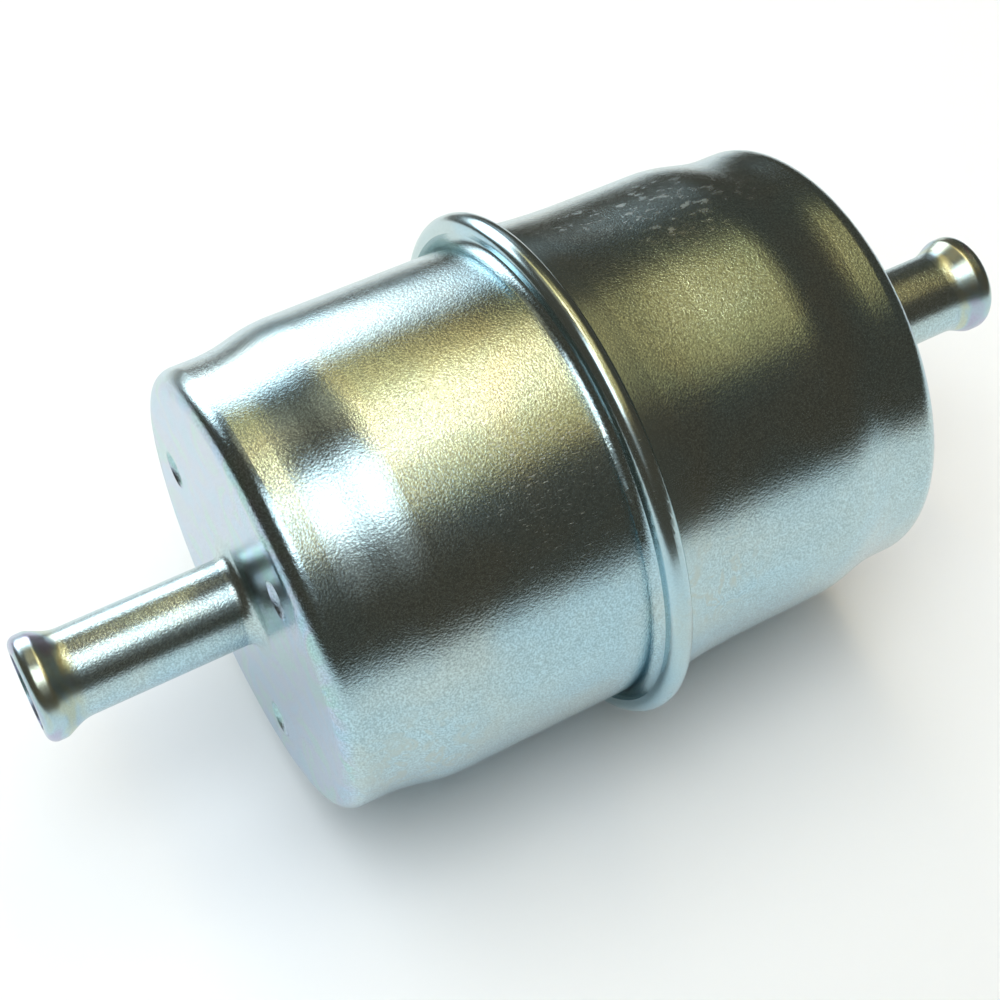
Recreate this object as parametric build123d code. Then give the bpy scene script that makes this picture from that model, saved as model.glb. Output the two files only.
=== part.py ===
from build123d import *
import math
import os

# In-line metal canister fuel filter.  Millimetres, Z up.
# The filter's axis is X: inlet neck towards -X, outlet neck towards +X.
# The origin is the middle of the lock seam that joins the two drawn shells.
#
# Each shell is one drawn sheet: neck, end wall, end section, shoulder, barrel and flange.
# Sections are drawn with x along the axis and y as the radius, then turned about X.

# ---------------------------------------------------------------- driving dimensions

# Drawn shells
SHEET = 0.7
HALF_LENGTH = 35.4
BARREL_R = 25.85
SHOULDER_STEP = 1.23
SHOULDER_NEAR = 23.9
SHOULDER_FAR = 29.2
SHOULDER_BEND = 15.0
CORNER_BEND = 2.2
FLARE_START = 9.0
FLARE_RISE = 0.8
FLARE_BEND = 80.0

# Hose necks, drawn in one piece with the end walls
NECK_R = 4.75
NECK_LENGTH = 23.4
NECK_ROOT_BEND = 1.62
NECK_EDGE_LIP = 0.05
BEAD_RISE = 1.0
BEAD_LAND_END = 2.0
BEAD_FOOT = 4.2
BEAD_NOSE_BEND = 1.05
BEAD_CREST_BEND = 1.0
BEAD_FOOT_BEND = 4.0

# Dimples pressed into the end walls, which centre the spring and the grommet
DIMPLES = 3
DIMPLE_FROM_EDGE = 7.8
DIMPLE_BALL_R = 3.0
DIMPLE_DEPTH = 0.9
DIMPLE_TURN = 79.0

# Lock seam: the outlet flange is folded over the inlet flange with a gasket between
GASKET_THICK = 0.5
GASKET_DEPTH = 0.55
SEAM_RISE = 3.22
HEM_ROOM = 0.06
INLET_FLANGE_BEND = 1.4
OUTLET_FLANGE_BEND = 0.5
HEM_EDGE_GAP = 0.05
HEM_CREST_LAND = 0.3

# Filter element
FLOW_GAP = 1.5
CAP_SHEET = 0.4
CAP_RIM = 5.0
CAP_BEND = 1.0
POTTING_DEPTH = 3.5
POTTING_FLOOR = 0.8
PLEATS = 40
PAPER = 0.45
CREST_FOLD = 0.55
ROOT_FOLD = 0.35
CREST_TO_RIM = 0.8
ROOT_TO_TUBE = 0.3
PAPER_SLIT = 0.12
CLIP_SHEET = 0.35
CLIP_LEG = 3.2
CLIP_ROOM = 0.02
TUBE_SHEET = 0.5
TUBE_FROM_COLLAR = 2.5
TUBE_HOLE_R = 1.6
TUBE_HOLES_ROUND = 8
TUBE_HOLE_PITCH = 5.2

# Outlet seal and inlet spring
COLLAR_FROM_MOUTH = 0.13
COLLAR_LENGTH = 3.0
COLLAR_BEND = 0.6
SEAL_CLEARANCE = 0.05
GROMMET_THICK = 4.0
GROMMET_RIB = 0.7
CENTRING_CLEARANCE = 0.3
SPRING_WIRE = 1.1
SPRING_LENGTH = 8.0
SPRING_ACTIVE_TURNS = 2.5
SPRING_COIL_GAP = 0.06
SPRING_GROUND = 0.2
BOSS_RISE = 1.0
BOSS_CLEARANCE = 0.8

# ---------------------------------------------------------------- dimensions that follow

HEM_WIDTH = 3 * SHEET + GASKET_THICK
HEM_X = HEM_WIDTH / 2
INLET_FLANGE_X = SHEET - HEM_X
GASKET_X = INLET_FLANGE_X + SHEET
END_R = BARREL_R - SHOULDER_STEP
FLARE_R = BARREL_R + FLARE_RISE
CREST_R = BARREL_R + SEAM_RISE
FLANGE_EDGE_R = CREST_R - HEM_X - HEM_ROOM
HEM_EDGE_R = BARREL_R + INLET_FLANGE_BEND + HEM_EDGE_GAP

NECK_TIP = HALF_LENGTH + NECK_LENGTH
BORE_R = NECK_R - SHEET
BEAD_R = NECK_R + BEAD_RISE
WALL_X = HALF_LENGTH - SHEET

DIMPLE_PITCH_R = END_R - DIMPLE_FROM_EDGE
DIMPLE_CENTRE_X = HALF_LENGTH + DIMPLE_BALL_R - DIMPLE_DEPTH
DIMPLE_BUMP_R = DIMPLE_BALL_R + SHEET
DIMPLE_BUMP_HALF = math.sqrt(DIMPLE_BUMP_R**2 - (DIMPLE_BUMP_R - DIMPLE_DEPTH) ** 2)
CENTRED_R = DIMPLE_PITCH_R - DIMPLE_BUMP_HALF - CENTRING_CLEARANCE

CAP_R = END_R - SHEET - FLOW_GAP
OUTLET_CAP_X = WALL_X - GROMMET_THICK
INLET_CAP_X = SPRING_LENGTH - WALL_X
PAPER_END_X = OUTLET_CAP_X - CAP_SHEET - POTTING_FLOOR
PAPER_START_X = INLET_CAP_X + CAP_SHEET + POTTING_FLOOR
PAPER_LENGTH = PAPER_END_X - PAPER_START_X

COLLAR_R = BORE_R + SHEET + NECK_ROOT_BEND + COLLAR_FROM_MOUTH
TUBE_R = COLLAR_R + TUBE_FROM_COLLAR
TUBE_BORE_R = TUBE_R - TUBE_SHEET
CREST_CENTRE_R = CAP_R - CAP_SHEET - CREST_TO_RIM - CREST_FOLD - PAPER / 2
ROOT_CENTRE_R = TUBE_R + ROOT_TO_TUBE + ROOT_FOLD + PAPER / 2

SPRING_R = CENTRED_R - SPRING_WIRE / 2
SPRING_CLOSED_PITCH = SPRING_WIRE + SPRING_COIL_GAP
BOSS_R = SPRING_R - SPRING_WIRE / 2 - BOSS_CLEARANCE


# ---------------------------------------------------------------- helpers


def turned(section):
    """Solid turned about X from a section with x along the axis and y as radius."""
    return revolve(section, Axis.X, 360)


def sheet_section(points, bends, thickness, side):
    """Section of a bent sheet: one skin through the points, the other on one side."""
    skin = FilletPolyline(*points, radius=bends)
    return make_face(Wire(skin.edges()).offset_2d(thickness, side=side, closed=True))


def ring_section(start_x, end_x, inner_r, outer_r):
    """Rectangular section between two stations and two radii."""
    corner = (start_x, inner_r)
    size = (end_x - start_x, outer_r - inner_r)
    return Pos(*corner) * Rectangle(*size, align=(Align.MIN, Align.MIN))


def around_x(shape, angle):
    """The shape turned about X, from +Z towards -Y for positive angles."""
    return shape.rotate(Axis.X, angle)


# ---------------------------------------------------------------- drawn shells


def shell_points():
    """Outer skin from the neck's turned-in edge to the start of the barrel."""
    return [
        (NECK_TIP, BORE_R + NECK_EDGE_LIP),
        (NECK_TIP, BEAD_R),
        (NECK_TIP - BEAD_LAND_END, BEAD_R),
        (NECK_TIP - BEAD_FOOT, NECK_R),
        (HALF_LENGTH, NECK_R),
        (HALF_LENGTH, END_R),
        (SHOULDER_FAR, END_R),
        (SHOULDER_NEAR, BARREL_R),
    ]


def shell_bends():
    """Outside bend radius at each inner point of shell_points."""
    return [
        BEAD_NOSE_BEND,
        BEAD_CREST_BEND,
        BEAD_FOOT_BEND,
        NECK_ROOT_BEND,
        CORNER_BEND,
        SHOULDER_BEND,
        SHOULDER_BEND,
    ]


def dimpled(shell, side):
    """End wall pressed inwards at the dimples; side is -1 for inlet, 1 for outlet."""
    slab = 2 * DIMPLE_DEPTH + SHEET
    slab_x = HALF_LENGTH - SHEET / 2 - slab / 2
    inside = Pos(side * slab_x, 0, 0) * Box(slab, 2 * END_R, 2 * END_R)
    for index in range(DIMPLES):
        turn = math.radians(DIMPLE_TURN + 360 / DIMPLES * index)
        y = DIMPLE_PITCH_R * math.sin(turn)
        z = DIMPLE_PITCH_R * math.cos(turn)
        centre = Pos(side * DIMPLE_CENTRE_X, y, z) * Rot(0, 0, 90 * (1 - side))
        bump = centre * Sphere(DIMPLE_BUMP_R) & inside
        shell = shell + bump - centre * Sphere(DIMPLE_BALL_R)
    return shell


def inlet_shell():
    """Inlet half, whose plain flange is held inside the hem."""
    points = [(-x, r) for x, r in shell_points()]
    points.append((INLET_FLANGE_X, BARREL_R))
    points.append((INLET_FLANGE_X, FLANGE_EDGE_R))
    bends = shell_bends() + [INLET_FLANGE_BEND]
    section = sheet_section(points, bends, SHEET, Side.RIGHT)
    return dimpled(turned(section), -1)


def outlet_shell():
    """Outlet half, flared at the seam, its flange folded back down the inlet side."""
    crest_bend = HEM_X - HEM_CREST_LAND / 2
    points = shell_points()
    points.append((FLARE_START, BARREL_R))
    points.append((HEM_X, FLARE_R))
    points.append((HEM_X, CREST_R))
    points.append((-HEM_X, CREST_R))
    points.append((-HEM_X, HEM_EDGE_R))
    bends = shell_bends() + [FLARE_BEND, OUTLET_FLANGE_BEND, crest_bend, crest_bend]
    section = sheet_section(points, bends, SHEET, Side.LEFT)
    return dimpled(turned(section), 1)


def seam_gasket():
    """Flat ring squeezed between the two flanges."""
    inner = FLANGE_EDGE_R - GASKET_DEPTH
    return turned(ring_section(GASKET_X, GASKET_X + GASKET_THICK, inner, FLANGE_EDGE_R))


# ---------------------------------------------------------------- filter element


def pleat_outline(crest_fold, root_fold):
    """Closed outline of round folds joined by straight flanks, drawn about the origin."""
    half = 180 / PLEATS
    crest = Vector(CREST_CENTRE_R, 0, 0)
    root = Vector(ROOT_CENTRE_R, 0, 0).rotate(Axis.Z, half)
    run = root - crest
    lean = math.acos((crest_fold + root_fold) / run.length)
    across = Vector(1, 0, 0).rotate(Axis.Z, math.degrees(math.atan2(run.Y, run.X) - lean))
    crest_end = crest + across * crest_fold
    root_start = root - across * root_fold
    crest_start = Vector(crest_end.X, -crest_end.Y, 0)
    root_end = Vector(root_start.X, -root_start.Y, 0).rotate(Axis.Z, 2 * half)
    crest_top = crest + Vector(crest_fold, 0, 0)
    root_low = Vector(ROOT_CENTRE_R - root_fold, 0, 0).rotate(Axis.Z, half)
    edges = []
    for index in range(PLEATS):
        turn = 2 * half * index
        fold = ThreePointArc(crest_start, crest_top, crest_end)
        down = Line(crest_end, root_start)
        turn_back = ThreePointArc(root_start, root_low, root_end)
        up = Line(root_end, crest_start.rotate(Axis.Z, 2 * half))
        edges += [edge.rotate(Axis.Z, turn) for edge in (fold, down, turn_back, up)]
    return make_face(edges)


def pleated_paper():
    """Paper strip folded into a star, its two ends meeting under the clip."""
    outer = pleat_outline(CREST_FOLD + PAPER / 2, ROOT_FOLD - PAPER / 2)
    inner = pleat_outline(CREST_FOLD - PAPER / 2, ROOT_FOLD + PAPER / 2)
    slit = Pos(CREST_CENTRE_R + CREST_FOLD, 0) * Rectangle(2 * CREST_FOLD, PAPER_SLIT)
    strip = outer - inner - slit
    return extrude(Plane.YZ.offset(PAPER_START_X) * strip, PAPER_LENGTH)


def seam_clip():
    """Folded steel strip that grips the two ends of the paper along one pleat."""
    inside = CREST_FOLD + PAPER / 2 + CLIP_ROOM
    outside = inside + CLIP_SHEET
    legs = Pos(CREST_CENTRE_R, 0) * Rectangle(CLIP_LEG, 2 * outside, align=(Align.MAX, Align.CENTER))
    gap = Pos(CREST_CENTRE_R, 0) * Rectangle(CLIP_LEG, 2 * inside, align=(Align.MAX, Align.CENTER))
    crest = Pos(CREST_CENTRE_R, 0)
    strip = legs + crest * Circle(outside) - gap - crest * Circle(inside)
    return extrude(Plane.YZ.offset(PAPER_START_X) * strip, PAPER_LENGTH)


def centre_tube():
    """Perforated steel tube that keeps the pleats from collapsing inwards."""
    tube = turned(ring_section(PAPER_START_X, PAPER_END_X, TUBE_BORE_R, TUBE_R))
    clear = PAPER_LENGTH - 2 * (POTTING_DEPTH + TUBE_HOLE_R)
    rows = int(clear / TUBE_HOLE_PITCH) + 1
    first = (PAPER_START_X + PAPER_END_X - (rows - 1) * TUBE_HOLE_PITCH) / 2
    step = 360 / TUBE_HOLES_ROUND
    drills = []
    for row in range(rows):
        for index in range(TUBE_HOLES_ROUND // 2):
            turn = step * (index + 0.5 * (row % 2))
            drill = Pos(first + row * TUBE_HOLE_PITCH, 0, 0) * Cylinder(TUBE_HOLE_R, 2 * TUBE_R + 2)
            drills.append(around_x(drill, turn))
    return tube - drills


def cap_section(face_x, inward, middle):
    """Section of an end cap: rim and face, then whatever the middle points add."""
    points = [(face_x + inward * CAP_RIM, CAP_R), (face_x, CAP_R)] + middle
    bends = [CAP_BEND] + [COLLAR_BEND] * (len(middle) - 1)
    side = Side.LEFT if inward > 0 else Side.RIGHT
    return sheet_section(points, bends, CAP_SHEET, side)


def inlet_end_cap():
    """Closed cup with a raised boss that centres the spring."""
    boss_x = INLET_CAP_X - BOSS_RISE
    middle = [(INLET_CAP_X, BOSS_R), (boss_x, BOSS_R - BOSS_RISE), (boss_x, 0)]
    return turned(cap_section(INLET_CAP_X, 1, middle))


def outlet_end_cap():
    """Cup with a central collar that plugs into the grommet."""
    middle = [(OUTLET_CAP_X, COLLAR_R), (OUTLET_CAP_X + COLLAR_LENGTH, COLLAR_R)]
    return turned(cap_section(OUTLET_CAP_X, -1, middle))


def inlet_potting(embedded, cap):
    """Cured plastisol that fills the closed cap around the paper and the tube."""
    depth = BOSS_RISE + CAP_SHEET + POTTING_DEPTH
    start = INLET_CAP_X - BOSS_RISE
    fill = turned(ring_section(start, start + depth, 0, CAP_R))
    filled = (fill - cap - embedded).solids()
    return max(filled, key=lambda solid: solid.volume)


def outlet_potting(embedded):
    """Cured plastisol ring in the outlet cap, open at the tube's bore."""
    inner_x = OUTLET_CAP_X - CAP_SHEET
    section = ring_section(inner_x - POTTING_DEPTH, inner_x, TUBE_BORE_R, CAP_R - CAP_SHEET)
    corner = section.vertices().sort_by(Axis.X)[-2:].sort_by(Axis.Y)[-1]
    return turned(fillet(corner, CAP_BEND - CAP_SHEET)) - embedded


# ---------------------------------------------------------------- seal and spring


def outlet_grommet():
    """Rubber ring between the outlet wall and the element, with a raised sealing rib."""
    bore = COLLAR_R + SEAL_CLEARANCE
    rib_x = OUTLET_CAP_X + GROMMET_RIB
    body = ring_section(rib_x, WALL_X, bore, CENTRED_R)
    rib = Pos(rib_x, (bore + CENTRED_R) / 2) * Circle(GROMMET_RIB)
    return turned(body + rib)


def element_spring():
    """Compression spring with closed and ground ends that seats the element."""
    start = -WALL_X + SPRING_WIRE / 2 - SPRING_GROUND
    travel = SPRING_LENGTH - SPRING_WIRE + 2 * SPRING_GROUND
    active_pitch = (travel - 2 * SPRING_CLOSED_PITCH) / SPRING_ACTIVE_TURNS
    turns = SPRING_ACTIVE_TURNS + 2
    per_turn = 12
    points = []
    for index in range(int(turns * per_turn) + 1):
        done = index / per_turn
        active = min(max(done - 1, 0), SPRING_ACTIVE_TURNS)
        x = start + active * active_pitch + (done - active) * SPRING_CLOSED_PITCH
        angle = 2 * math.pi * done
        points.append((x, SPRING_R * math.sin(angle), SPRING_R * math.cos(angle)))
    path = Spline(*points)
    wire = sweep(Plane(origin=path @ 0, z_dir=path % 0) * Circle(SPRING_WIRE / 2), path=path)
    middle = INLET_CAP_X - SPRING_LENGTH / 2
    return wire & Pos(middle, 0, 0) * Box(SPRING_LENGTH, 4 * SPRING_R, 4 * SPRING_R)


# ---------------------------------------------------------------- write the pieces


def pieces():
    """Every piece of the filter by node name."""
    paper = pleated_paper()
    clip = seam_clip()
    tube = centre_tube()
    embedded = [paper, clip, tube]
    inlet_cap = inlet_end_cap()
    return {
        "inlet_shell": inlet_shell(),
        "outlet_shell": outlet_shell(),
        "seam_gasket": seam_gasket(),
        "outlet_grommet": outlet_grommet(),
        "element_spring": element_spring(),
        "inlet_end_cap": inlet_cap,
        "outlet_end_cap": outlet_end_cap(),
        "inlet_potting": inlet_potting(embedded, inlet_cap),
        "outlet_potting": outlet_potting(embedded),
        "pleated_paper": paper,
        "seam_clip": clip,
        "centre_tube": tube,
    }


os.makedirs("parts", exist_ok=True)
for name, shape in pieces().items():
    export_step(shape, f"parts/{name}.step")
    print(name, round(shape.volume, 1))
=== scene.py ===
# %% [markdown]
# # In-line canister fuel filter
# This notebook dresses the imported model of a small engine's fuel filter: two zinc-plated
# steel shells joined by a lock seam, with a hose neck at each end and a pleated-paper
# element inside. The model's axis is X, with the inlet neck towards -X, and the origin is
# the middle of the seam. The first cell loads the model and reads its sizes from it.

# %% Load the model
import math

import bpy
from mathutils import Matrix, Vector


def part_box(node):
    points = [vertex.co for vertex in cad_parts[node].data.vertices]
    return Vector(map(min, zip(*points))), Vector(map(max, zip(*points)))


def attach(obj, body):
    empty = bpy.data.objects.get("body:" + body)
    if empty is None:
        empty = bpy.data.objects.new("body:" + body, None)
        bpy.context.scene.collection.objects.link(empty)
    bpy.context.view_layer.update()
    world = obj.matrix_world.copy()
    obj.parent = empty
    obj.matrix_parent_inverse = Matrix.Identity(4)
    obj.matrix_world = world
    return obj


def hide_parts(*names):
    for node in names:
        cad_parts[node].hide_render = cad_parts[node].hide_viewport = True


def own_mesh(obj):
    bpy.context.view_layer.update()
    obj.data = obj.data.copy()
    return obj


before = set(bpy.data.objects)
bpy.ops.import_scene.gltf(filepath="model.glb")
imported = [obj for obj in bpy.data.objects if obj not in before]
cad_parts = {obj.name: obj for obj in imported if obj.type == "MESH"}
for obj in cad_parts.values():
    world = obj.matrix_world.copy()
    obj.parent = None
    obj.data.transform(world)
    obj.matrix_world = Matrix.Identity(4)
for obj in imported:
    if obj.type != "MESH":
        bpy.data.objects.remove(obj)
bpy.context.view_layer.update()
MM = 0.001
SCENE = bpy.context.scene
INLET_LOW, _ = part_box("inlet_shell")
_, OUTLET_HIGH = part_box("outlet_shell")
SEAM_R = OUTLET_HIGH.z
NECK_TIP = OUTLET_HIGH.x
print("overall length mm", round((OUTLET_HIGH.x - INLET_LOW.x) / MM, 2))
print("across the seam mm", round(2 * SEAM_R / MM, 2))

# %% [markdown]
# The camera stands in front of the filter, to the left and well above it, close enough for
# the near neck to look clearly larger than the far one. It is placed by two angles and a
# distance from the point it looks at, as a photographer would set up a tripod.

# %% Camera
VIEW_AZIMUTH = math.radians(-29.63)
VIEW_ELEVATION = math.radians(51.22)
VIEW_DISTANCE = 194.96 * MM
VIEW_TARGET = Vector((-5.04, -0.37, -2.26)) * MM
FOCAL_LENGTH = 64.18
SENSOR = 36.0


def towards(azimuth, elevation):
    """Unit vector from the filter to a place at that azimuth and elevation."""
    flat = math.cos(elevation)
    return Vector((math.sin(azimuth) * flat, -math.cos(azimuth) * flat, math.sin(elevation)))


def add_camera():
    data = bpy.data.cameras.new("camera")
    data.lens = FOCAL_LENGTH
    data.sensor_width = SENSOR
    data.clip_start = MM
    camera = bpy.data.objects.new("camera", data)
    SCENE.collection.objects.link(camera)
    back = towards(VIEW_AZIMUTH, VIEW_ELEVATION)
    camera.location = VIEW_TARGET + back * VIEW_DISTANCE
    camera.rotation_euler = back.to_track_quat("Z", "Y").to_euler()
    return camera


SCENE.camera = add_camera()
SCENE.view_settings.view_transform = "Standard"
print("camera at mm", [round(c / MM, 1) for c in SCENE.camera.location])

# %% [markdown]
# Every finish below is a small tree of shader nodes. A few helpers keep the trees short: one
# empties a tree, one adds a named node with its values, one wires up a sum, one turns a
# value into a fade between two levels, one blends two colours, and the last two connect the
# shader. Values and sockets can be given in the same way, so a sum reads like a sum.

# %% Node helpers


def shader_tree(owner):
    owner.use_nodes = True
    owner.node_tree.nodes.clear()
    return owner.node_tree


def add(tree, kind, name, **values):
    """A named node with its inputs and properties set; a socket given as a value is linked."""
    node = tree.nodes.new(kind)
    node.name = name
    node.label = name
    for key, value in values.items():
        socket = node.inputs.get(key.replace("_", " "))
        if isinstance(value, bpy.types.NodeSocket):
            tree.links.new(value, socket)
        elif socket is not None:
            socket.default_value = value
        else:
            setattr(node, key, value)
    return node


def reckon(tree, operation, name, *terms):
    """The result of a Math node on numbers or sockets."""
    node = add(tree, "ShaderNodeMath", name, operation=operation)
    for socket, term in zip(node.inputs, terms):
        if isinstance(term, bpy.types.NodeSocket):
            tree.links.new(term, socket)
        else:
            socket.default_value = term
    return node.outputs[0]


def fade(tree, name, value, start, end, low=0.0, high=1.0):
    """low below start and high above end, with a straight run between."""
    node = add(
        tree,
        "ShaderNodeMapRange",
        name,
        Value=value,
        From_Min=start,
        From_Max=end,
        To_Min=low,
        To_Max=high,
    )
    return node.outputs["Result"]


def blend_colour(tree, name, share, first, second):
    """first where share is 0 and second where it is 1; each a colour or a socket."""
    node = add(tree, "ShaderNodeMixRGB", name, Fac=share, Color1=first, Color2=second)
    return node.outputs["Color"]


def finish_material(tree, shader):
    out = add(tree, "ShaderNodeOutputMaterial", "output")
    tree.links.new(shader.outputs["BSDF"], out.inputs["Surface"])


def finish_metal(tree, colour, roughness, normal):
    """Bare metal shader from these sockets, connected to the output."""
    shader = add(
        tree,
        "ShaderNodeBsdfPrincipled",
        "shader",
        Metallic=1.0,
        Base_Color=colour,
        Roughness=roughness,
        Normal=normal,
    )
    finish_material(tree, shader)


print("node helpers ready")

# %% [markdown]
# The filter lies on a sheet of pale paper. The sheet runs far to the front and the left but
# ends about a hand's length behind the filter and to its right, so that the metal shows a
# thin dark line at the horizon there. The world around it is a dim room in reflections, and
# to the camera itself it is about as pale as the paper.

# %% Floor and room
FLOOR_COLOUR = (0.90, 0.92, 0.93, 1)
FLOOR_ROUGHNESS = 0.7
FLOOR_BACK = 0.165
FLOOR_FRONT = 1.0
FLOOR_LEFT = 1.0
FLOOR_RIGHT = 0.22
ROOM_DARK = (0.085, 0.07, 0.052, 1)
ROOM_PALE = (0.93, 0.94, 0.95, 1)


def add_floor():
    bpy.ops.mesh.primitive_plane_add(size=1.0, location=(0, 0, -SEAM_R))
    floor = bpy.context.object
    floor.name = "floor"
    floor.scale = (FLOOR_LEFT + FLOOR_RIGHT, FLOOR_BACK + FLOOR_FRONT, 1)
    floor.location.x = (FLOOR_RIGHT - FLOOR_LEFT) / 2
    floor.location.y = (FLOOR_BACK - FLOOR_FRONT) / 2
    material = bpy.data.materials.new("pale_floor")
    tree = shader_tree(material)
    shader = add(
        tree,
        "ShaderNodeBsdfPrincipled",
        "shader",
        Base_Color=FLOOR_COLOUR,
        Roughness=FLOOR_ROUGHNESS,
    )
    finish_material(tree, shader)
    floor.data.materials.append(material)
    return floor


def add_room():
    world = bpy.data.worlds.new("room")
    SCENE.world = world
    tree = shader_tree(world)
    dark = add(tree, "ShaderNodeBackground", "dark_room", Color=ROOM_DARK)
    pale = add(tree, "ShaderNodeBackground", "pale_paper", Color=ROOM_PALE)
    path = add(tree, "ShaderNodeLightPath", "ray_kind")
    mix = add(tree, "ShaderNodeMixShader", "choose")
    out = add(tree, "ShaderNodeOutputWorld", "output")
    tree.links.new(path.outputs["Is Camera Ray"], mix.inputs[0])
    tree.links.new(dark.outputs[0], mix.inputs[1])
    tree.links.new(pale.outputs[0], mix.inputs[2])
    tree.links.new(mix.outputs[0], out.inputs["Surface"])


print("floor at mm", round(add_floor().location.z / MM, 2))
add_room()

# %% [markdown]
# Bright metal shows its surroundings more than its own colour, so the lights are laid out as
# a small studio: a white window low behind, a white softbox overhead and to the left, and a
# warm lampshade overhead and to the right with its bulb showing through. Each is dimmed
# towards its rim, as cloth over a lamp is. What is left of the room is dark, which gives the
# barrel its dark band in front. A light is placed by two numbers that suit a long round
# object: how far along the filter's axis it stands, and its turn about that axis. The last
# light is for the paper only, and the metal doesn't show it.

# %% Lights
WHITE = (0.95, 0.98, 1.0)
WARM = (1.0, 0.70, 0.24)
WARM_WHITE = (1.0, 0.82, 0.56)
PAPER_WHITE = (0.84, 0.93, 1.0)
ROUND_EDGE = 0.3


def frame_matrix(x_axis, y_axis, z_axis, place):
    """Matrix that puts an object at place with these axes."""
    rows = [[x_axis[i], y_axis[i], z_axis[i], place[i]] for i in range(3)]
    return Matrix(rows + [[0, 0, 0, 1]])


def soften(data, edges):
    """Dim a rectangular light towards its rim, over these shares of its half size.

    The light's own coordinates run from 0 to 1 each way, so its middle is at 0.5.
    """
    tree = shader_tree(data)
    panel = add(tree, "ShaderNodeNewGeometry", "panel").outputs["Parametric"]
    split = add(tree, "ShaderNodeSeparateXYZ", "panel_split", Vector=panel)
    glow = 1.0
    for axis, edge in zip(("X", "Y"), edges):
        centred = reckon(tree, "SUBTRACT", axis + "_centred", split.outputs[axis], 0.5)
        off = reckon(tree, "ABSOLUTE", axis + "_off", centred)
        inside = fade(tree, axis + "_inside", off, 0.5, 0.5 * (1 - edge))
        glow = reckon(tree, "MULTIPLY", axis + "_glow", inside, glow)
    lamp = add(tree, "ShaderNodeEmission", "lamp", Strength=glow)
    out = add(tree, "ShaderNodeOutputLight", "output")
    tree.links.new(lamp.outputs[0], out.inputs["Surface"])


def softbox(name, along, turn, distance, width, height, colour, radiance, edge):
    """Rectangle of light facing the filter.

    along is how far it stands towards +X, as a share of the distance, and turn is its
    angle in degrees about the axis, from straight up towards the front. edge is the share
    of its half width that fades at each end; its height fades over ROUND_EDGE.
    """
    data = bpy.data.lights.new(name, "AREA")
    data.shape = "RECTANGLE"
    data.size = width
    data.size_y = height
    data.color = colour
    data.energy = radiance * math.pi * width * height
    soften(data, (edge, ROUND_EDGE))
    light = bpy.data.objects.new(name, data)
    SCENE.collection.objects.link(light)
    across = math.sqrt(1 - along * along)
    turned = math.radians(turn)
    way = Vector((along, -math.sin(turned) * across, math.cos(turned) * across))
    side = (Vector((1, 0, 0)) - way * along).normalized()
    light.matrix_world = frame_matrix(side, way.cross(side), way, way * distance)
    return light


# One light a row, in the order of softbox's arguments. Distances and sizes are in metres.
SOFTBOXES = (
    ("back_window", -0.12, -73.5, 0.9, 0.92, 0.60, WHITE, 3.8, 0.3),
    ("back_wall", 0.37, -72, 1.1, 0.36, 0.36, WHITE, 0.2, 0.6),
    ("white_softbox", -0.10, 14, 0.9, 0.48, 0.60, WHITE, 3.1, 0.35),
    ("softbox_halo", -0.06, 24, 1.1, 0.70, 1.30, WHITE, 0.3, 0.8),
    ("lamp_bulb", 0.256, -7, 0.7, 0.036, 0.46, WARM_WHITE, 15.0, 0.9),
    ("warm_lamp", 0.238, -13, 0.8, 0.092, 1.70, WARM, 2.1, 0.6),
    ("warm_shade", 0.345, -3, 1.0, 0.17, 1.40, WARM, 1.1, 0.8),
    ("warm_shade_end", 0.49, 0, 1.0, 0.20, 1.10, WARM, 0.65, 0.5),
    ("warm_wall", 0.06, -30, 1.3, 0.66, 0.64, WARM_WHITE, 0.36, 0.3),
    ("paper_light", -0.3, 0, 1.6, 2.4, 2.4, PAPER_WHITE, 1.95, 0.3),
)
for row in SOFTBOXES:
    light = softbox(*row)
    light.visible_glossy = light.name != "paper_light"

# %% [markdown]
# Much of the finish changes along the object: the barrel is grainy, the beads and the seam
# are rolled and smoother, the end walls show the colours of the chromate. The places are
# found from the object's own coordinates: the distance along the axis and the distance from
# it. A second helper makes a soft round spot on the shell, for a mark that sits in one
# place only.

# %% Places on the shell
END_WALL_X = 35.4 * MM
BARREL_TOP_R = 26.1 * MM
NECK_SIDE_R = 6.6 * MM
BEAD_REACH = 5.0 * MM
MASK_EDGE = 0.6 * MM
PATCH_CORE = 1 / 3


def shell_places(tree):
    """Sockets: object coordinates, distance from the middle, distance from the axis."""
    place = add(tree, "ShaderNodeTexCoord", "place").outputs["Object"]
    split = add(tree, "ShaderNodeSeparateXYZ", "split", Vector=place)
    along = reckon(tree, "ABSOLUTE", "from_middle", split.outputs["X"])
    flat = add(tree, "ShaderNodeCombineXYZ", "flat", Y=split.outputs["Y"], Z=split.outputs["Z"])
    reach = add(tree, "ShaderNodeVectorMath", "reach", operation="LENGTH")
    tree.links.new(flat.outputs[0], reach.inputs[0])
    return place, along, reach.outputs["Value"]


def patch(tree, name, place, turn, along, radius, reach):
    """1 at a spot on the shell, fading to 0 at reach; turn in degrees from up to front."""
    turned = math.radians(turn)
    spot = (along, -math.sin(turned) * radius, math.cos(turned) * radius)
    apart = add(tree, "ShaderNodeVectorMath", name + "_apart", operation="DISTANCE")
    tree.links.new(place, apart.inputs[0])
    apart.inputs[1].default_value = spot
    return fade(tree, name, apart.outputs["Value"], reach, reach * PATCH_CORE)


print("end wall at mm", round(END_WALL_X / MM, 2))

# %% [markdown]
# Zinc plate is blue-grey, and the clear chromate over it is a film about as thick as a wave
# of light is long, so it shows faint straw, lavender, pink and green. On the end walls the
# film is thicker and its colours are plain to see. Real film colour needs optics; a slow
# noise that picks from a short ramp of those colours looks the same and is cheap.

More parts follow.
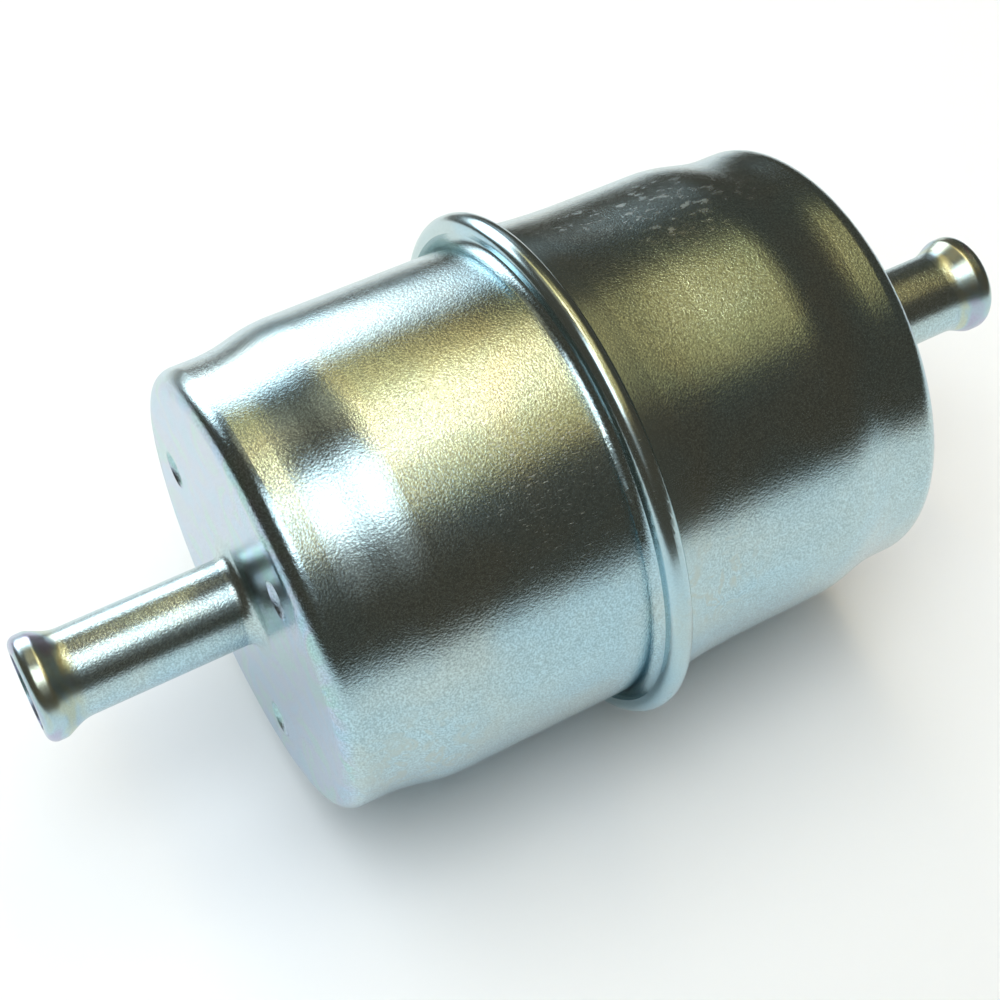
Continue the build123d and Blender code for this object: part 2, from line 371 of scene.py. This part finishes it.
# %% Chromate colours
ZINC_BLUE = (0.42, 0.61, 0.69, 1)
ZINC_STRAW = (0.48, 0.60, 0.61, 1)
FILM_SIZE = 14 * MM
WALL_SIZE = 7 * MM
BAND_SIZE = 6 * MM
BAND_SQUEEZE = (2, 1, 1)
BARREL_STOPS = ((0.35, ZINC_BLUE), (0.65, ZINC_STRAW))
FILM_STOPS = (
    (0.30, (0.34, 0.55, 0.63, 1)),
    (0.42, (0.39, 0.54, 0.69, 1)),
    (0.52, (0.45, 0.52, 0.64, 1)),
    (0.62, (0.38, 0.59, 0.57, 1)),
    (0.74, (0.35, 0.55, 0.65, 1)),
)
BEAD_STOPS = (
    (0.36, (0.44, 0.46, 0.60, 1)),
    (0.48, (0.43, 0.59, 0.65, 1)),
    (0.60, (0.52, 0.60, 0.50, 1)),
)


def colour_ramp(tree, name, value, stops):
    node = add(tree, "ShaderNodeValToRGB", name)
    elements = node.color_ramp.elements
    while len(elements) < len(stops):
        elements.new(0.5)
    for element, (position, colour) in zip(elements, stops):
        element.position = position
        element.color = colour
    tree.links.new(value, node.inputs["Fac"])
    return node.outputs["Color"]


def noise(tree, name, place, size, detail=2.0, distortion=0.0, roughness=0.5):
    """Noise whose lumps are about this size."""
    node = add(
        tree,
        "ShaderNodeTexNoise",
        name,
        Vector=place,
        Scale=1 / size,
        Detail=detail,
        Distortion=distortion,
        Roughness=roughness,
    )
    return node.outputs["Fac"]


def stretched(tree, name, place, scale, turn=0.0):
    """Coordinates scaled differently along each axis, for streaks."""
    node = add(tree, "ShaderNodeMapping", name, Vector=place, Scale=scale)
    node.inputs["Rotation"].default_value = (0, turn, 0)
    return node.outputs["Vector"]


def chromate_colour(tree, place, along, reach):
    """Zinc with a film that is faint on the barrel and plain on end walls and beads."""
    slow = noise(tree, "film_noise", place, FILM_SIZE, detail=3.0, distortion=0.6)
    barrel = colour_ramp(tree, "barrel_film", slow, BARREL_STOPS)
    marbled = noise(tree, "wall_noise", place, WALL_SIZE, detail=3.0, distortion=1.4)
    wall = colour_ramp(tree, "wall_film", marbled, FILM_STOPS)
    bands = stretched(tree, "bands", place, BAND_SQUEEZE)
    banded = noise(tree, "bead_noise", bands, BAND_SIZE, distortion=0.8)
    bead = colour_ramp(tree, "bead_film", banded, BEAD_STOPS)
    past_corner = fade(tree, "past_corner", along, END_WALL_X - 2 * MASK_EDGE, END_WALL_X)
    off_neck = fade(tree, "off_neck", reach, NECK_SIDE_R, NECK_SIDE_R + MASK_EDGE)
    on_wall = reckon(tree, "MULTIPLY", "on_wall", past_corner, off_neck)
    bead_start = NECK_TIP - BEAD_REACH
    on_bead = fade(tree, "on_bead", along, bead_start, bead_start + 2 * MASK_EDGE)
    colour = blend_colour(tree, "wall_or_barrel", on_wall, barrel, wall)
    return blend_colour(tree, "bead_or_rest", on_bead, colour, bead), on_bead


print("film colours", len(FILM_STOPS) + len(BEAD_STOPS))

# %% [markdown]
# Drawing stretches the sheet and roughens its skin into an even sandy grain, the orange peel
# of deep-drawn steel. On the metal it is a field of tiny dents, each lit on one side, so most
# of it belongs in the surface's slope. The zinc is also duller in the dents than between
# them, so a finer speckle goes into the colour. The rolled beads and the hammered crest of
# the seam are burnished, and both are much fainter there.

# %% Grain of the drawn sheet
GRAIN_SIZE = 0.24 * MM
GRAIN_HEIGHT = 0.028 * MM
SWELL_SIZE = 6.0 * MM
SWELL_HEIGHT = 0.03 * MM
SPECKLE_SIZE = 0.2 * MM
SPECKLE_STOPS = ((0.36, (0.78, 0.78, 0.78, 1)), (0.66, (1.16, 1.16, 1.15, 1)))
BURNISHED_GRAIN = 0.15
BURNISHED_SPECKLE = 0.3


def drawn_grain(tree, place, reach, on_bead):
    """Normal with the grain and a slow unevenness of the sheet."""
    on_seam = fade(tree, "on_seam", reach, BARREL_TOP_R, BARREL_TOP_R + MASK_EDGE)
    smooth = reckon(tree, "MAXIMUM", "burnished", on_seam, on_bead)
    strength = fade(tree, "grain_strength", smooth, 0.0, 1.0, 1.0, BURNISHED_GRAIN)
    fine = noise(tree, "grain", place, GRAIN_SIZE, detail=3.0, roughness=0.6)
    swell = noise(tree, "swell", place, SWELL_SIZE, detail=1.0)
    slow = add(tree, "ShaderNodeBump", "swell_bump", Height=swell, Distance=SWELL_HEIGHT)
    bump = add(tree, "ShaderNodeBump", "grain_bump", Height=fine, Distance=GRAIN_HEIGHT)
    tree.links.new(strength, bump.inputs["Strength"])
    tree.links.new(slow.outputs["Normal"], bump.inputs["Normal"])
    return bump.outputs["Normal"], smooth


def speckled(tree, place, smooth, colour):
    """Zinc crystals in the dents: a fine light and dark speckle where it isn't rubbed."""
    dots = noise(tree, "crystals", place, SPECKLE_SIZE, detail=1.0)
    speckle = colour_ramp(tree, "speckle", dots, SPECKLE_STOPS)
    share = fade(tree, "speckle_share", smooth, 0.0, 1.0, 1.0, BURNISHED_SPECKLE)
    node = add(tree, "ShaderNodeMixRGB", "speckled", blend_type="MULTIPLY", Fac=share)
    tree.links.new(colour, node.inputs["Color1"])
    tree.links.new(speckle, node.inputs["Color2"])
    return node.outputs["Color"]


print("grain mm", round(GRAIN_SIZE / MM, 2))

# %% [markdown]
# A filter that has lain on a shelf has marks: white zinc bloom high on the outlet half, two
# faint water stains low down, and fine scratches in front on the inlet half. Each is a noise
# cut off at a level, kept to a few spots on the shell so that it isn't everywhere. The
# stains' noise is folded first, which turns its lumps into rings.

# %% Shelf marks
BARREL_R = 25.85 * MM
BLOOM = (0.80, 0.84, 0.84, 1)
BLOOM_SIZE = 0.9 * MM
BLOOM_RUN = (0.7, 1, 1)
BLOOM_CUT = (0.52, 0.76, 0.0, 0.55)
STAIN = (0.46, 0.54, 0.52, 1)
STAIN_SIZE = 4 * MM
STAIN_FOLD = 0.12
SCRATCH_SIZE = 0.16 * MM
SCRATCH_RUN = (0.22, 1, 1)
SCRATCH_SLANT = math.radians(32)
SCRATCH_CUT = (0.62, 0.80, 0.0, 0.7)
# Where each mark lies: turn from up to front in degrees, along the axis and reach in mm.
BLOOM_SPOTS = ((-15, 18, 9), (-22, 9, 5), (-11, 25, 5))
STAIN_SPOTS = ((96, -28, 10), (78, 5, 8))
SCRATCH_SPOTS = ((40, -9, 12),)


def spots_share(tree, name, place, spots):
    """1 in the middle of each spot, fading to 0 away from them."""
    share = 0.0
    for index, (turn, along, reach) in enumerate(spots):
        spot = patch(tree, f"{name}_{index}", place, turn, along * MM, BARREL_R, reach * MM)
        share = reckon(tree, "MAXIMUM", f"{name}_sum_{index}", spot, share)
    return share


def bloom_share(tree, place):
    """Chalky zinc bloom in flecks at the top of the outlet half."""
    run = stretched(tree, "bloom_run", place, BLOOM_RUN)
    flecks = noise(tree, "bloom_noise", run, BLOOM_SIZE, detail=6.0, distortion=0.3)
    cut = fade(tree, "bloom_cut", flecks, *BLOOM_CUT)
    spots = spots_share(tree, "bloom_spot", place, BLOOM_SPOTS)
    return reckon(tree, "MULTIPLY", "bloom", cut, spots)


def stain_share(tree, place):
    """Rings left by drying drops, low on the front."""
    wavy = noise(tree, "stain_noise", place, STAIN_SIZE, detail=3.0, distortion=1.2)
    folded = reckon(tree, "PINGPONG", "stain_fold", wavy, STAIN_FOLD)
    ring = fade(tree, "stain_ring", folded, STAIN_FOLD / 2, STAIN_FOLD)
    spots = spots_share(tree, "stain_spot", place, STAIN_SPOTS)
    return reckon(tree, "MULTIPLY", "stain", ring, spots)


def scratch_share(tree, place):
    """Short fine scratches, slanting across the front of the inlet half."""
    run = stretched(tree, "scratch_run", place, SCRATCH_RUN, SCRATCH_SLANT)
    lines = noise(tree, "scratch_noise", run, SCRATCH_SIZE)
    cut = fade(tree, "scratch_cut", lines, *SCRATCH_CUT)
    spots = spots_share(tree, "scratch_spot", place, SCRATCH_SPOTS)
    return reckon(tree, "MULTIPLY", "scratch", cut, spots)


print("bloom, stain and scratches ready")

# %% [markdown]
# The shells' finish puts these together: chromate colour, then stain, bloom and scratches on
# top of it, the grain in the normal, and the roughness. The barrel itself is the glossiest,
# because its grain already breaks up what it reflects. The rolled parts are a little duller,
# the necks duller again, and the chalky bloom and the scratches are rough. Metallic is a
# plain number, because the whole surface is metal.

# %% Plated steel
BARREL_ROUGHNESS = 0.17
BURNISHED_ROUGHNESS = 0.20
BLOOM_ROUGHNESS = 0.6
NECK_EXTRA = 0.07


def plated_steel(name):
    """Finish of both shells, all of it placed from the object's own coordinates."""
    material = bpy.data.materials.new(name)
    tree = shader_tree(material)
    place, along, reach = shell_places(tree)
    colour, on_bead = chromate_colour(tree, place, along, reach)
    normal, smooth = drawn_grain(tree, place, reach, on_bead)
    colour = speckled(tree, place, smooth, colour)
    bloom = bloom_share(tree, place)
    scratch = scratch_share(tree, place)
    colour = blend_colour(tree, "stained", stain_share(tree, place), colour, STAIN)
    marks = reckon(tree, "MAXIMUM", "marks", bloom, scratch)
    colour = blend_colour(tree, "bloomed", marks, colour, BLOOM)
    levels = (BARREL_ROUGHNESS, BURNISHED_ROUGHNESS)
    metal = fade(tree, "metal_roughness", smooth, 0.0, 1.0, *levels)
    extra = reckon(tree, "MULTIPLY", "bloom_roughness", marks, BLOOM_ROUGHNESS)
    off_neck = NECK_SIDE_R + MASK_EDGE
    neck = fade(tree, "neck_roughness", reach, off_neck, NECK_SIDE_R, 0.0, NECK_EXTRA)
    worn = reckon(tree, "ADD", "worn_roughness", metal, extra)
    roughness = reckon(tree, "ADD", "roughness", worn, neck)
    finish_metal(tree, colour, roughness, normal)
    return material


def dress(node, material):
    """Give a CAD node one finish all over."""
    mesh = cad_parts[node].data
    mesh.materials.clear()
    mesh.materials.append(material)


PLATED = plated_steel("plated_shell")
for shell in ("inlet_shell", "outlet_shell"):
    dress(shell, PLATED)
print("plated", PLATED.name)

# %% [markdown]
# The element's caps, tube and clip are tinplate: thin bright sheet with long faint rolling
# lines. Lines along the sheet come from a noise squeezed across the rolling direction.

# %% Tinplate
# Nearly all of a noise lies between these two values.
NOISE_SPAN = (0.3, 0.7)
TIN_STOPS = ((0.35, (0.52, 0.52, 0.50, 1)), (0.65, (0.66, 0.66, 0.63, 1)))
TIN_ROUGHNESS = (0.24, 0.36)
CLOUD_SIZE = 6 * MM
ROLLED_SIZE = 0.5 * MM
ROLLED_RUN = (1, 0.06, 1)
ROLLED_HEIGHT = 0.01 * MM


def tinplate(name):
    material = bpy.data.materials.new(name)
    tree = shader_tree(material)
    place = add(tree, "ShaderNodeTexCoord", "place").outputs["Object"]
    run = stretched(tree, "rolled", place, ROLLED_RUN)
    rolled = noise(tree, "rolling", run, ROLLED_SIZE, detail=3.0)
    cloudy = noise(tree, "clouds", place, CLOUD_SIZE, detail=3.0)
    colour = colour_ramp(tree, "tin_colour", cloudy, TIN_STOPS)
    bump = add(tree, "ShaderNodeBump", "rolling_bump", Height=rolled, Distance=ROLLED_HEIGHT)
    roughness = fade(tree, "roughness", cloudy, *NOISE_SPAN, *TIN_ROUGHNESS)
    finish_metal(tree, colour, roughness, bump.outputs["Normal"])
    return material


TINPLATE = tinplate("cap_steel")
for piece in ("inlet_end_cap", "outlet_end_cap", "seam_clip", "centre_tube"):
    dress(piece, TINPLATE)
print("tinplate", TINPLATE.name)

# %% [markdown]
# Rubber, plastisol and paper share one recipe: two close colours mixed by a noise, a bump
# from a finer noise and a high roughness. What tells them apart is the size of the lumps:
# rubber is nearly even, plastisol has soft swells, and paper has long fibres.

# %% Rubber, plastisol and paper
RUBBER_COLOURS = ((0.020, 0.020, 0.022, 1), (0.040, 0.040, 0.042, 1))
POTTING_COLOURS = ((0.13, 0.14, 0.16, 1), (0.19, 0.20, 0.22, 1))
PAPER_COLOURS = ((0.66, 0.49, 0.24, 1), (0.82, 0.67, 0.39, 1))
# Each skin: size of its lumps, their run, bump height, roughness.
RUBBER_SKIN = (0.3 * MM, (1, 1, 1), 0.02 * MM, 0.62)
POTTING_SKIN = (0.8 * MM, (1, 1, 1), 0.05 * MM, 0.5)
PAPER_SKIN = (0.25 * MM, (0.2, 1, 1), 0.04 * MM, 0.88)
MOTTLE_LUMPS = 8
ROUGH_SPREAD = 0.08


def soft_finish(name, colours, lump, run, height, roughness):
    """Matt material; run squeezes its fine noise along each axis."""
    material = bpy.data.materials.new(name)
    tree = shader_tree(material)
    place = add(tree, "ShaderNodeTexCoord", "place").outputs["Object"]
    mottle = noise(tree, "mottle", place, MOTTLE_LUMPS * lump, detail=4.0)
    fine = noise(tree, "fine", stretched(tree, "run", place, run), lump, detail=3.0)
    colour = colour_ramp(tree, "mottle_colour", mottle, tuple(zip(NOISE_SPAN, colours)))
    bump = add(tree, "ShaderNodeBump", "fine_bump", Height=fine, Distance=height)
    levels = (roughness - ROUGH_SPREAD, roughness + ROUGH_SPREAD)
    rough = fade(tree, "rough", fine, *NOISE_SPAN, *levels)
    shader = add(
        tree,
        "ShaderNodeBsdfPrincipled",
        "shader",
        Base_Color=colour,
        Roughness=rough,
        Normal=bump.outputs["Normal"],
    )
    finish_material(tree, shader)
    return material


RUBBER = soft_finish("seal_rubber", RUBBER_COLOURS, *RUBBER_SKIN)
POTTING = soft_finish("potting", POTTING_COLOURS, *POTTING_SKIN)
PAPER = soft_finish("filter_paper", PAPER_COLOURS, *PAPER_SKIN)
for piece, material in (
    ("seam_gasket", RUBBER),
    ("outlet_grommet", RUBBER),
    ("inlet_potting", POTTING),
    ("outlet_potting", POTTING),
    ("pleated_paper", PAPER),
):
    dress(piece, material)
print("soft finishes", [m.name for m in (RUBBER, POTTING, PAPER)])

# %% [markdown]
# The spring pushes the element against its seal, and it shortens when the element floats.
# It is wound again here as a mesh on the same helix: one closed turn at each end, an even
# pitch between them, and both ends ground flat.
# Grinding is done by pressing every point that is past the end plane back onto it.

# %% Spring
SPRING_LOW, SPRING_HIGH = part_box("element_spring")
WIRE = 1.1 * MM
COIL_GAP = 0.06 * MM
GROUND = 0.2 * MM
ACTIVE_TURNS = 2.5
POINTS_PER_TURN = 48
POINTS_ROUND_WIRE = 12
WIRE_STOPS = ((0.35, (0.34, 0.34, 0.36, 1)), (0.65, (0.50, 0.50, 0.51, 1)))
WIRE_ROUGHNESS = (0.28, 0.42)
SCALE_SIZE = 2 * MM
DRAWN_SIZE = 0.2 * MM
DRAWN_RUN = (1, 0.15, 0.15)
DRAWN_HEIGHT = 0.01 * MM


def helix_point(done):
    """Centre of the wire after this many turns."""
    closed_pitch = WIRE + COIL_GAP
    travel = SPRING_HIGH.x - SPRING_LOW.x - WIRE + 2 * GROUND
    active_pitch = (travel - 2 * closed_pitch) / ACTIVE_TURNS
    active = min(max(done - 1, 0), ACTIVE_TURNS)
    start = SPRING_LOW.x + WIRE / 2 - GROUND
    x = start + active * active_pitch + (done - active) * closed_pitch
    radius = SPRING_HIGH.z - WIRE / 2
    angle = 2 * math.pi * done
    return Vector((x, radius * math.sin(angle), radius * math.cos(angle)))


def ring_points(centre):
    """Points round the wire here, with any past a ground end pressed back onto it."""
    outward = Vector((0, centre.y, centre.z)).normalized()
    ring = []
    for index in range(POINTS_ROUND_WIRE):
        angle = 2 * math.pi * index / POINTS_ROUND_WIRE
        lift = Vector((math.cos(angle), 0, 0)) + outward * math.sin(angle)
        point = centre + lift * (WIRE / 2)
        point.x = min(max(point.x, SPRING_LOW.x), SPRING_HIGH.x)
        ring.append(point)
    return ring


def wire_faces(count):
    """Quads from ring to ring, and one face that closes each end."""
    faces = []
    for step in range(count):
        for index in range(POINTS_ROUND_WIRE):
            here = step * POINTS_ROUND_WIRE + index
            beside = step * POINTS_ROUND_WIRE + (index + 1) % POINTS_ROUND_WIRE
            faces.append((here, beside, beside + POINTS_ROUND_WIRE, here + POINTS_ROUND_WIRE))
    last = count * POINTS_ROUND_WIRE
    faces.append(tuple(range(POINTS_ROUND_WIRE))[::-1])
    faces.append(tuple(last + index for index in range(POINTS_ROUND_WIRE)))
    return faces


def wind_spring():
    """Mesh of the wire with its ends ground flat."""
    count = int((ACTIVE_TURNS + 2) * POINTS_PER_TURN)
    points = []
    for step in range(count + 1):
        points += ring_points(helix_point(step / POINTS_PER_TURN))
    mesh = bpy.data.meshes.new("wound_spring")
    mesh.from_pydata(points, [], wire_faces(count))
    mesh.validate()
    mesh.shade_smooth()
    spring = bpy.data.objects.new("wound_spring", mesh)
    SCENE.collection.objects.link(spring)
    return spring


def spring_wire(name):
    """Drawn wire: dark bright metal with lines along it and a little scale."""
    material = bpy.data.materials.new(name)
    tree = shader_tree(material)
    place = add(tree, "ShaderNodeTexCoord", "place").outputs["Object"]
    run = stretched(tree, "drawn", place, DRAWN_RUN)
    drawn = noise(tree, "drawing_lines", run, DRAWN_SIZE)
    scale = noise(tree, "scale", place, SCALE_SIZE, detail=4.0)
    colour = colour_ramp(tree, "wire_colour", scale, WIRE_STOPS)
    bump = add(tree, "ShaderNodeBump", "line_bump", Height=drawn, Distance=DRAWN_HEIGHT)
    roughness = fade(tree, "roughness", scale, *NOISE_SPAN, *WIRE_ROUGHNESS)
    finish_metal(tree, colour, roughness, bump.outputs["Normal"])
    return material


SPRING = wind_spring()
SPRING.data.materials.append(spring_wire("spring_steel"))
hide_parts("element_spring")
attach(SPRING, "casing")
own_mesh(SPRING)
